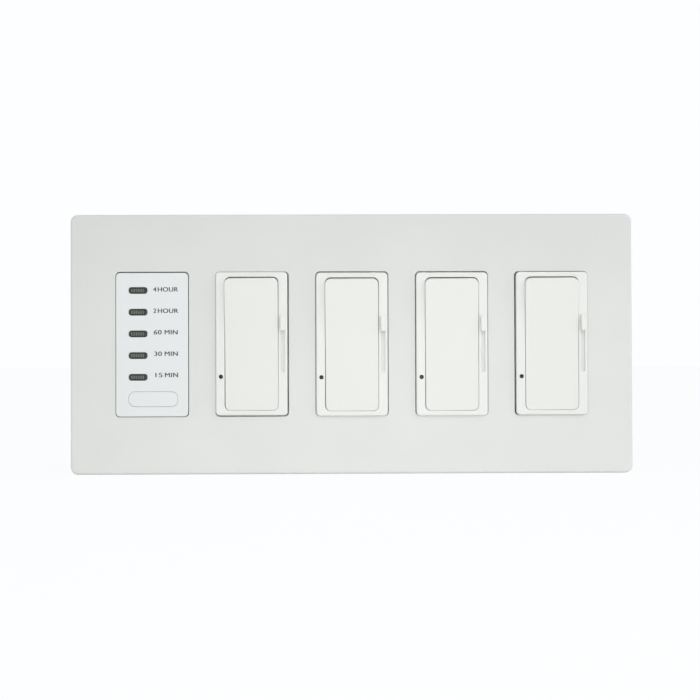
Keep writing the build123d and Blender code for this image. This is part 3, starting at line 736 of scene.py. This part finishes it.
for dimmer in dimmers:
    centre = seat(dimmer + "_bezel")
    knob = make_piece(
        dimmer + "_slide_knob", model_slider(centre), frame_plastic, [dimmer + "_slider"]
    )
print("slider faces:", len(knob.data.polygons))

# %% [markdown]
# ## Dimmer light
# The light is a thin acrylic rod that pipes the glow of a lamp on the board to the front. Only its domed end
# shows, as a dark dot. It is turned on its axis like the real rod.

# %% Model the dimmer lights
rod_line = [(0.82, -5.0), (0.92, -4.9), (0.92, 8.6), (0.84, 8.75), (0.58, 8.82), (0.25, 8.85)]

for dimmer in dimmers:
    centre = seat(dimmer + "_bezel")
    spot = (centre[0] + light_spot[0], centre[1] + light_spot[1])
    bm = bmesh.new()
    turned(bm, rod_line, spot, 24)
    rod = make_piece(dimmer + "_light_rod", bm, light_lens, [dimmer + "_indicator_light"])
print("light rod faces:", len(rod.data.polygons))

# %% [markdown]
# ## Timer face
# The timer's face is a flat white cap with five windows and one wide button under them. It is a shell: its
# posts press the small display board down, and its wall is thick enough to hide the glow between windows.

# %% Model the timer face
timer = seat("timer_face")
timer_front, timer_back = 7.9, 6.3
timer_corner, timer_edge = 1.85, 0.35
timer_inside, inside_corner = (29.8, 62.9), 0.8
window_size, window_corner = (8.6, 3.0), 1.22
first_window, window_pitch = (-6.42, 25.02), 10.008
window_spots = [
    (timer[0] + first_window[0], timer[1] + first_window[1] - row * window_pitch) for row in range(5)
]
button_size, button_corner = (22.44, 6.8), 2.8
button_aside, button_below = 0.58, 25.1
button_spot = (timer[0] + button_aside, timer[1] - button_below)
window_hole = ((8.72, 3.12), 1.28)
button_hole = ((22.66, 7.02), 2.9)
hole_edge = 0.08
post_size, post_x, post_z, post_back = (2.0, 2.0), 13.9, 30.45, 3.2


def model_timer_face():
    bm = bmesh.new()
    rim, face = wall(
        bm, timer_size, timer_corner, [(0, strap_front)] + soft_edge(timer_front, timer_edge), timer
    )
    lip, ceiling = wall(bm, timer_inside, inside_corner, [(0, strap_front), (0, timer_back)], timer)
    fronts, backs = [face], [ceiling]
    mouth = [(0, timer_back)] + soft_mouth(timer_front, hole_edge, 2)
    holes = [(*window_hole, spot) for spot in window_spots] + [(*button_hole, button_spot)]
    for size, corner, spot in holes:
        near, far = wall(bm, size, corner, mouth, spot)
        backs.append(near)
        fronts.append(far)
    flat(bm, *fronts)
    flat(bm, *backs)
    flat(bm, rim, lip)
    for x in (-post_x, post_x):
        for z in (-post_z, post_z):
            block(bm, post_size, (timer[0] + x, timer[1] + z), post_back, timer_back + overlap, edge=0.1)
    return bm


timer_cap = make_piece("timer_cap", model_timer_face(), face_plastic, ["timer_face"])
print("timer face faces:", len(timer_cap.data.polygons))

# %% [markdown]
# ## Timer windows
# One moulded strip of smoked acrylic carries all five windows. Each window has a smooth dark rim, and behind
# its middle stand fine upright ribs, which spread the light of the lamp. Unlit, the ribs show as a paler
# patch.

# %% Model the windows and their ribs
sheet_size, sheet_back = (9.8, 44.23), 5.5
window_back, window_front, window_edge = 6.2, 7.85, 0.15
dish_size, dish_corner, dish_floor, dish_edge = (6.4, 1.9), 0.7, 7.45, 0.2
dish_shift = -0.35
guide_size, guide_back, guide_front = (4.0, 2.4), 4.5, 5.6
bar_size, bar_back, bar_front = (0.5, 1.7), 7.4, 7.72
bar_count, bar_pitch = 8, 0.78


def model_windows():
    bm = bmesh.new()
    block(bm, sheet_size, window_spots[2], sheet_back, timer_back, 0.5, 0.1)
    sides = [(0, window_back)] + soft_edge(window_front, window_edge, 2)
    dish = [(0, dish_floor)] + soft_mouth(window_front, dish_edge, 2)
    for x, z in window_spots:
        rear, rim = wall(bm, window_size, window_corner, sides, (x, z))
        floor, mouth = wall(bm, dish_size, dish_corner, dish, (x + dish_shift, z))
        flat(bm, rim, mouth)
        flat(bm, floor)
        flat(bm, rear)
        block(bm, guide_size, (x, z), guide_back, guide_front, edge=0.1)
    return bm


def model_ribs():
    bm = bmesh.new()
    for x, z in window_spots:
        for bar in range(bar_count):
            aside = dish_shift + bar_pitch * (bar - (bar_count - 1) / 2)
            block(bm, bar_size, (x + aside, z), bar_back, bar_front, 0.15, 0.1)
    return bm


lens_strip = make_piece("timer_lens_strip", model_windows(), smoked_lens, ["timer_windows"])
lens_ribs = make_piece("timer_lens_ribs", model_ribs(), rib_lens, ["timer_windows"])
print("window faces:", len(lens_strip.data.polygons), "rib faces:", len(lens_ribs.data.polygons))

# %% [markdown]
# ## Timer button
# The button is almost flush. It slides in its hole, and a flange behind the face keeps it from falling out.

# %% Model the button
button_back, button_front, button_edge = 5.5, 8.0, 0.18
flange_size, flange_back, flange_front = (24.2, 8.6), 5.45, 6.15

bm = bmesh.new()
sides = [(0, button_back)] + soft_edge(button_front, button_edge)
rear, top = wall(bm, button_size, button_corner, sides, button_spot)
flat(bm, rear)
flat(bm, top)
block(bm, flange_size, button_spot, flange_back, flange_front, 0.6, 0.12)
button_cap = make_piece("timer_button_cap", bm, face_plastic, ["timer_button"])
print("button faces:", len(button_cap.data.polygons))

# %% [markdown]
# ## Time marks
# The times are pad-printed beside the windows: a film of grey ink, here 0.02 mm thick. They are plain words
# and numbers that any such timer has. Each is set as text, turned to face the room and made a mesh, so that
# it rides like any other piece. The mesh is struck twice, a little apart, which makes the type bold.

# %% Print the time marks
capital_height, capital_share = 2.15, 0.73
letter_spacing = 1.06
ink_sunk, ink_over = 0.01, 0.012
strike_gap, strike_lift = 0.17, 0.004
# Each line is a number with its left and right ends, a word with its own ends, and their height, all in mm
marks = (
    ("4", 0.55, 2.1, "HOUR", 2.65, 12.05, 25.39), ("2", 0.6, 2.0, "HOUR", 2.7, 12.1, 15.52),
    ("60", 0.8, 4.5, "MIN", 5.8, 11.85, 5.63), ("30", 1.0, 4.6, "MIN", 5.8, 11.9, -4.29),
    ("15", 1.5, 4.85, "MIN", 5.95, 12.0, -14.1),
)


def set_type(words, left, right, z):
    """The letters of a word as a mesh in mm, stretched a little to reach from left to right."""
    text = bpy.data.curves.new("type", "FONT")
    text.body = words
    text.align_y = "CENTER"
    text.size = capital_height / capital_share
    text.space_character = letter_spacing
    text.extrude = ink_sunk
    setting = bpy.data.objects.new("type", text)
    bpy.context.scene.collection.objects.link(setting)
    bpy.context.view_layer.update()
    mesh = bpy.data.meshes.new_from_object(setting)
    bpy.data.objects.remove(setting)
    bpy.data.curves.remove(text)
    ends = [corner.co.x for corner in mesh.vertices]
    stretch = (right - left - strike_gap) / (max(ends) - min(ends))
    mesh.transform(
        Matrix.Translation((timer[0] + left - stretch * min(ends), -timer_front - ink_over, timer[1] + z))
        @ Matrix.Rotation(math.radians(90), 4, "X")
        @ Matrix.Scale(stretch, 4, (1, 0, 0))
    )
    return mesh


def print_mark(number, number_left, number_right, word, word_left, word_right, z):
    """Prints a number and its word, and strikes both a second time."""
    bm = bmesh.new()
    for mesh in (set_type(number, number_left, number_right, z), set_type(word, word_left, word_right, z)):
        bm.from_mesh(mesh)
        mesh.transform(Matrix.Translation((strike_gap, -strike_lift, 0)))
        bm.from_mesh(mesh)
        bpy.data.meshes.remove(mesh)
    bm.transform(Matrix.Scale(MM, 4))
    mark = new_object("time_mark_%s_%s" % (number, word.lower()), bm, marking_ink)
    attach(mark, "root")


for mark in marks:
    print_mark(*mark)
print("marks:", len(marks), "capitals", capital_height, "mm high")

# %% [markdown]
# ## Screws
# The screws are turned and rolled steel with a nickel plate. Their heads are slightly domed with one
# straight slot, and the thread is a true helix: each ring of points lies a quarter of the pitch further
# along than the last, and its crest has turned by a quarter.

# %% Model the screws
head_line = [(2.9, 0), (3.3, 0.25), (3.3, 0.7), (2.9, 1.3), (2.2, 1.55)]
crest_radius, neck_radius, tip_end_radius = 1.75, 1.4, 0.5
thread_depth, thread_pitch, neck_run = 0.38, 0.8, 0.1
rows_a_turn, points_around = 4, 16
tool_size, tool_floor, tool_top = (8.0, 0.9), 0.75, 2.2
first_angle, next_angle = 17, 61
box_seat, box_neck, box_length = 1.3, 1.3, 23.3
plate_seat, plate_neck, plate_length = 3.3, 0.1, 8.0
box_rise, plate_rise = 41.67, 48.42


def screw(bm, spot, head_at, neck, length):
    """A slotted screw that points at the wall, with its head seated at a front distance."""
    turned(bm, [(radius, head_at + out) for radius, out in head_line], spot, 28)
    step = thread_pitch / rows_a_turn
    line = [(neck_radius, head_at + overlap), (neck_radius, head_at - neck)]
    line += [(None, head_at - neck - neck_run - row * step) for row in range(int((length - neck) / step))]
    line.append((tip_end_radius, head_at - length))
    rows = []
    for number, (given, front) in enumerate(line):
        ring = []
        for i in range(points_around):
            angle = math.tau * i / points_around
            phase = (number / rows_a_turn + i / points_around) % 1
            crest = crest_radius - thread_depth * abs(2 * phase - 1)
            reach = crest if given is None else given
            point = (spot[0] + reach * math.cos(angle), -front, spot[1] + reach * math.sin(angle))
            ring.append(bm.verts.new(point))
        rows.append(ring)
    for near, far in zip(rows, rows[1:]):
        loft(bm, near, far)
    flat(bm, rows[0])
    flat(bm, rows[-1])


def make_screws(name, spots, head_at, neck, length, node):
    """Turns a set of screws, and mills the straight slots into all heads with one cutter."""
    bm = bmesh.new()
    cutter = bmesh.new()
    for number, spot in enumerate(spots):
        screw(bm, spot, head_at, neck, length)
        tool = bmesh.new()
        block(tool, tool_size, (0, 0), head_at + tool_floor, head_at + tool_top, 0.05, 0.02)
        turn = Matrix.Rotation(math.radians(first_angle + next_angle * number), 4, "Y")
        tool.transform(Matrix.Translation((spot[0], 0, spot[1])) @ turn)
        join(cutter, tool)
    screws = make_piece(name, bm, screw_steel, [node])
    carve(screws, cutter, crossing=True)
    return screws


box_spots = [(x, up * box_rise) for x in gangs for up in (-1, 1)]
plate_spots = []
for node in ["timer_strap"] + [dimmer + "_strap" for dimmer in dimmers]:
    x, z = seat(node)
    plate_spots += [(x, z + up * plate_rise) for up in (-1, 1)]
box_screws = make_screws("box_screws_slotted", box_spots, box_seat, box_neck, box_length, "box_screws")
plate_screws = make_screws(
    "adapter_screws_slotted", plate_spots, plate_seat, plate_neck, plate_length, "adapter_screws"
)
print("screw faces:", len(box_screws.data.polygons), len(plate_screws.data.polygons))

# %% [markdown]
# ## Terminals
# Each housing has a recess in both side walls, with a screw terminal in it: a brass clamp plate and a cheese
# head screw, whose straight slot lies between two low ridges. The wires of the house go behind the plate.

# %% Model the terminals
housing_width, recess_depth = 41.6, 2.4
terminal_sunk, terminal_rise = 15.0, 15.0
clamp_size, clamp_back, clamp_front = (6.4, 6.4), 0.05, 0.75
cheese_head = [(2.4, 0.7), (2.5, 0.85), (2.5, 1.6), (2.3, 1.85)]
ridge_size, ridge_rise, ridge_back, ridge_front = (4.6, 0.25), 0.62, 1.7, 2.05


def model_terminal(side):
    """One terminal, modelled facing the room and then swung to face sideways."""
    bm = bmesh.new()
    block(bm, clamp_size, (0, 0), clamp_back, clamp_front, 0.4, 0.12)
    turned(bm, cheese_head, (0, 0), 24)
    for up in (1, -1):
        block(bm, ridge_size, (0, up * ridge_rise), ridge_back, ridge_front, 0.05, 0.03)
    bm.transform(Matrix.Rotation(math.radians(90 * side), 4, "Z"))
    return bm


housings = ["timer_housing"] + [dimmer + "_housing" for dimmer in dimmers]
bm = bmesh.new()
for housing in housings:
    middle, level = seat(housing)
    for side in (1, -1):
        terminal = model_terminal(side)
        recess_floor = middle + side * (housing_width / 2 - recess_depth)
        terminal.transform(Matrix.Translation((recess_floor, terminal_sunk, level + side * terminal_rise)))
        join(bm, terminal)
terminals = shaded("housing_terminals", bm, terminal_brass)
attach(terminals, "root")
print("terminals:", 2 * len(housings))

# %% [markdown]
# ## Pieces that keep their solids
# The straps, housings, boards and components already have their real shapes in the part. Their meshes stay
# as they are, and only modifiers soften them: their doubled corner points are welded, each true edge gets a
# small round, and the flats keep even normals. Each gets the finish of its real material.

# %% Soften and dress the carried-over solids
weld_reach = 0.001
round_from = math.radians(30)


def dress(node, finish, edge):
    """Gives a part's own solid its finish and a small edge round."""
    solid = frame["nodes"][node]
    solid.data.materials.clear()
    solid.data.materials.append(finish)
    solid.modifiers.new("weld", "WELD").merge_threshold = weld_reach * MM
    soft = solid.modifiers.new("soft edges", "BEVEL")
    soft.width = edge * MM
    soft.segments = 2
    soft.limit_method = "ANGLE"
    soft.angle_limit = round_from
    soft.use_clamp_overlap = True
    weigh(solid)


dress("wallplate_adapter", adapter_plastic, 0.2)
dress("timer_strap", strap_steel, 0.12)
dress("timer_housing", housing_nylon, 0.25)
dress("timer_power_board", board_laminate, 0.08)
dress("timer_display_board", board_laminate, 0.08)
dress("timer_leds", led_package, 0.1)
dress("timer_push_switch", component_black, 0.12)
dress("timer_switch_plunger", carrier_plastic, 0.1)
dress("timer_pin_header", component_black, 0.1)
dress("timer_relay", relay_plastic, 0.4)
dress("timer_capacitor", film_capacitor, 0.5)
dress("dimmer_power_switches", control_plastic, 0.12)
dress("dimmer_chokes", component_black, 0.5)
dress("dimmer_triacs", component_black, 0.2)
for dimmer in dimmers:
    dress(dimmer + "_strap", strap_aluminium, 0.12)
    dress(dimmer + "_housing", housing_nylon, 0.25)
    dress(dimmer + "_circuit_board", board_laminate, 0.08)
    dress(dimmer + "_slide_control", control_plastic, 0.15)
    dress(dimmer + "_contact_carrier", carrier_plastic, 0.15)
print("dressed solids:", sum(1 for node in frame["nodes"].values() if node.modifiers))

# %% [markdown]
# ## Floor and backdrop
# The plate stands on a pale floor. Towards the camera the floor and the surroundings read as white paper, as
# in a catalogue picture. Light Path's Is Camera Ray does that without adding light to the object, and a
# share of the floor's own shade is kept, so the object's shadow still falls on it.

# %% Build the stage
tooth_size = 3
paper_roughness = 0.9
glow_share = 0.96
paper_white = linear("FDFEFF")
floor_paper, tree, shader, where = new_finish("stage_paper_matt_white")
tone = mixed(tree, noise(tree, where, tooth_size, 2.0), "F4F5F4", "F7F8F7")
tree.links.new(tone, shader.inputs["Base Color"])
shader.inputs["Roughness"].default_value = paper_roughness
path = add(tree, "ShaderNodeLightPath")
straight = add(tree, "ShaderNodeMath", {
    0: path.outputs["Is Camera Ray"], 1: glow_share,
}, operation="MULTIPLY")
glow = add(tree, "ShaderNodeEmission", {"Color": paper_white, "Strength": 1.0})
blend = add(tree, "ShaderNodeMixShader", {
    "Fac": straight.outputs["Value"], 1: shader.outputs["BSDF"], 2: glow.outputs["Emission"],
})
tree.links.new(blend.outputs["Shader"], tree.nodes["Material Output"].inputs["Surface"])

reach = 12.0
cells = 8
floor_gap = 0.0001
floor_level = cad_box[0][2] - floor_gap
steps = [-reach + 2 * reach * i / cells for i in range(cells + 1)]
bm = bmesh.new()
grid = [[bm.verts.new((x, y, floor_level)) for y in steps] for x in steps]
for i in range(cells):
    for j in range(cells):
        bm.faces.new((grid[i][j], grid[i + 1][j], grid[i + 1][j + 1], grid[i][j + 1]))
floor = new_object("studio_floor", bm, floor_paper)

room_strength, seen_strength = 0.625, 1.0
world = bpy.data.worlds.new("soft_room")
bpy.context.scene.world = world
world.use_nodes = True
room = world.node_tree
room_path = add(room, "ShaderNodeLightPath")
seen = add(room, "ShaderNodeMath", {
    0: room_path.outputs["Is Camera Ray"], 1: room_path.outputs["Is Transmission Ray"],
}, operation="MAXIMUM")
sky = room.nodes["Background"]
sky.inputs["Color"].default_value = paper_white
strength = between(room, seen.outputs["Value"], room_strength, seen_strength)
room.links.new(strength, sky.inputs["Strength"])
print("floor level:", round(floor_level / MM, 2), "mm")

# %% [markdown]
# ## Camera
# The photograph looks almost straight at the plate from about half a metre. The camera stands a touch below
# the plate's middle, half a degree to its left, and the picture is tipped by a fifth of a degree. The
# plate's length of 259.7 mm spans 562 of the picture's 700 points, so the picture is 323 mm wide at the
# plate, and the lens follows from that and the distance.

# %% Place the camera
distance = 520.0
picture_width = 323.3
sensor_width = 36.0
aim = Vector((-0.9, -7.6, -2.85))
rise = math.radians(0.63)
turn = math.radians(-0.5)
tip = math.radians(-0.19)
lens = bpy.data.cameras.new("catalogue_camera")
lens.sensor_width = sensor_width
lens.lens = sensor_width * distance / picture_width
lens.clip_start = 0.01
camera = bpy.data.objects.new("catalogue_camera", lens)
bpy.context.scene.collection.objects.link(camera)
facing = (Matrix.Rotation(turn, 4, "Z") @ Matrix.Rotation(math.radians(90) + rise, 4, "X")
          @ Matrix.Rotation(tip, 4, "Z"))
camera.location = (aim + facing @ Vector((0, 0, distance))) * MM
camera.rotation_euler = facing.to_euler()
bpy.context.scene.camera = camera
print("lens:", round(lens.lens, 2), "mm")

# %% [markdown]
# ## Light
# A broad lamp stands high on the right in front of the plate, and a second one shines along it from the
# right, as the wedge of shade left of each paddle shows. A wide weak lamp on the left keeps the shades open,
# and a small one beside the lens reaches into the gaps. A narrow one shines down on the paper in front,
# which throws light up under the edges. Together with the room they light a surface that faces the camera so
# that its colour renders about as it is written.

# %% Place the lamps
def soft_lamp(name, at, towards, size, power):
    """A round lamp of a size in metres and a power in watts."""
    lamp = bpy.data.lights.new(name, "AREA")
    lamp.shape = "DISK"
    lamp.size = size
    lamp.energy = power
    stand = bpy.data.objects.new(name, lamp)
    bpy.context.scene.collection.objects.link(stand)
    stand.location = at
    stand.rotation_euler = (Vector(towards) - Vector(at)).to_track_quat("-Z", "Y").to_euler()
    return lamp


soft_lamp("key_lamp_right", (1.7, -2.2, 1.9), (0, 0, 0), 0.8, 16.5)
soft_lamp("side_lamp_right", (1.8, -0.6, 0.65), (0, 0, 0), 0.4, 5.2)
soft_lamp("fill_lamp_left", (-2.0, -2.4, 0.5), (0, 0, 0), 1.8, 7.6)
soft_lamp("front_lamp_by_the_lens", (0.05, -0.6, -0.015), (0, 0, 0), 0.08, 0.24)
paper_lamp = soft_lamp("lamp_on_the_paper", (0.05, -0.42, 0.5), (0.03, -0.3, -0.06), 0.2, 0.18)
paper_lamp.spread = math.radians(70)
bpy.context.scene.view_settings.view_transform = "Standard"
print("lamps:", len(bpy.data.lights))
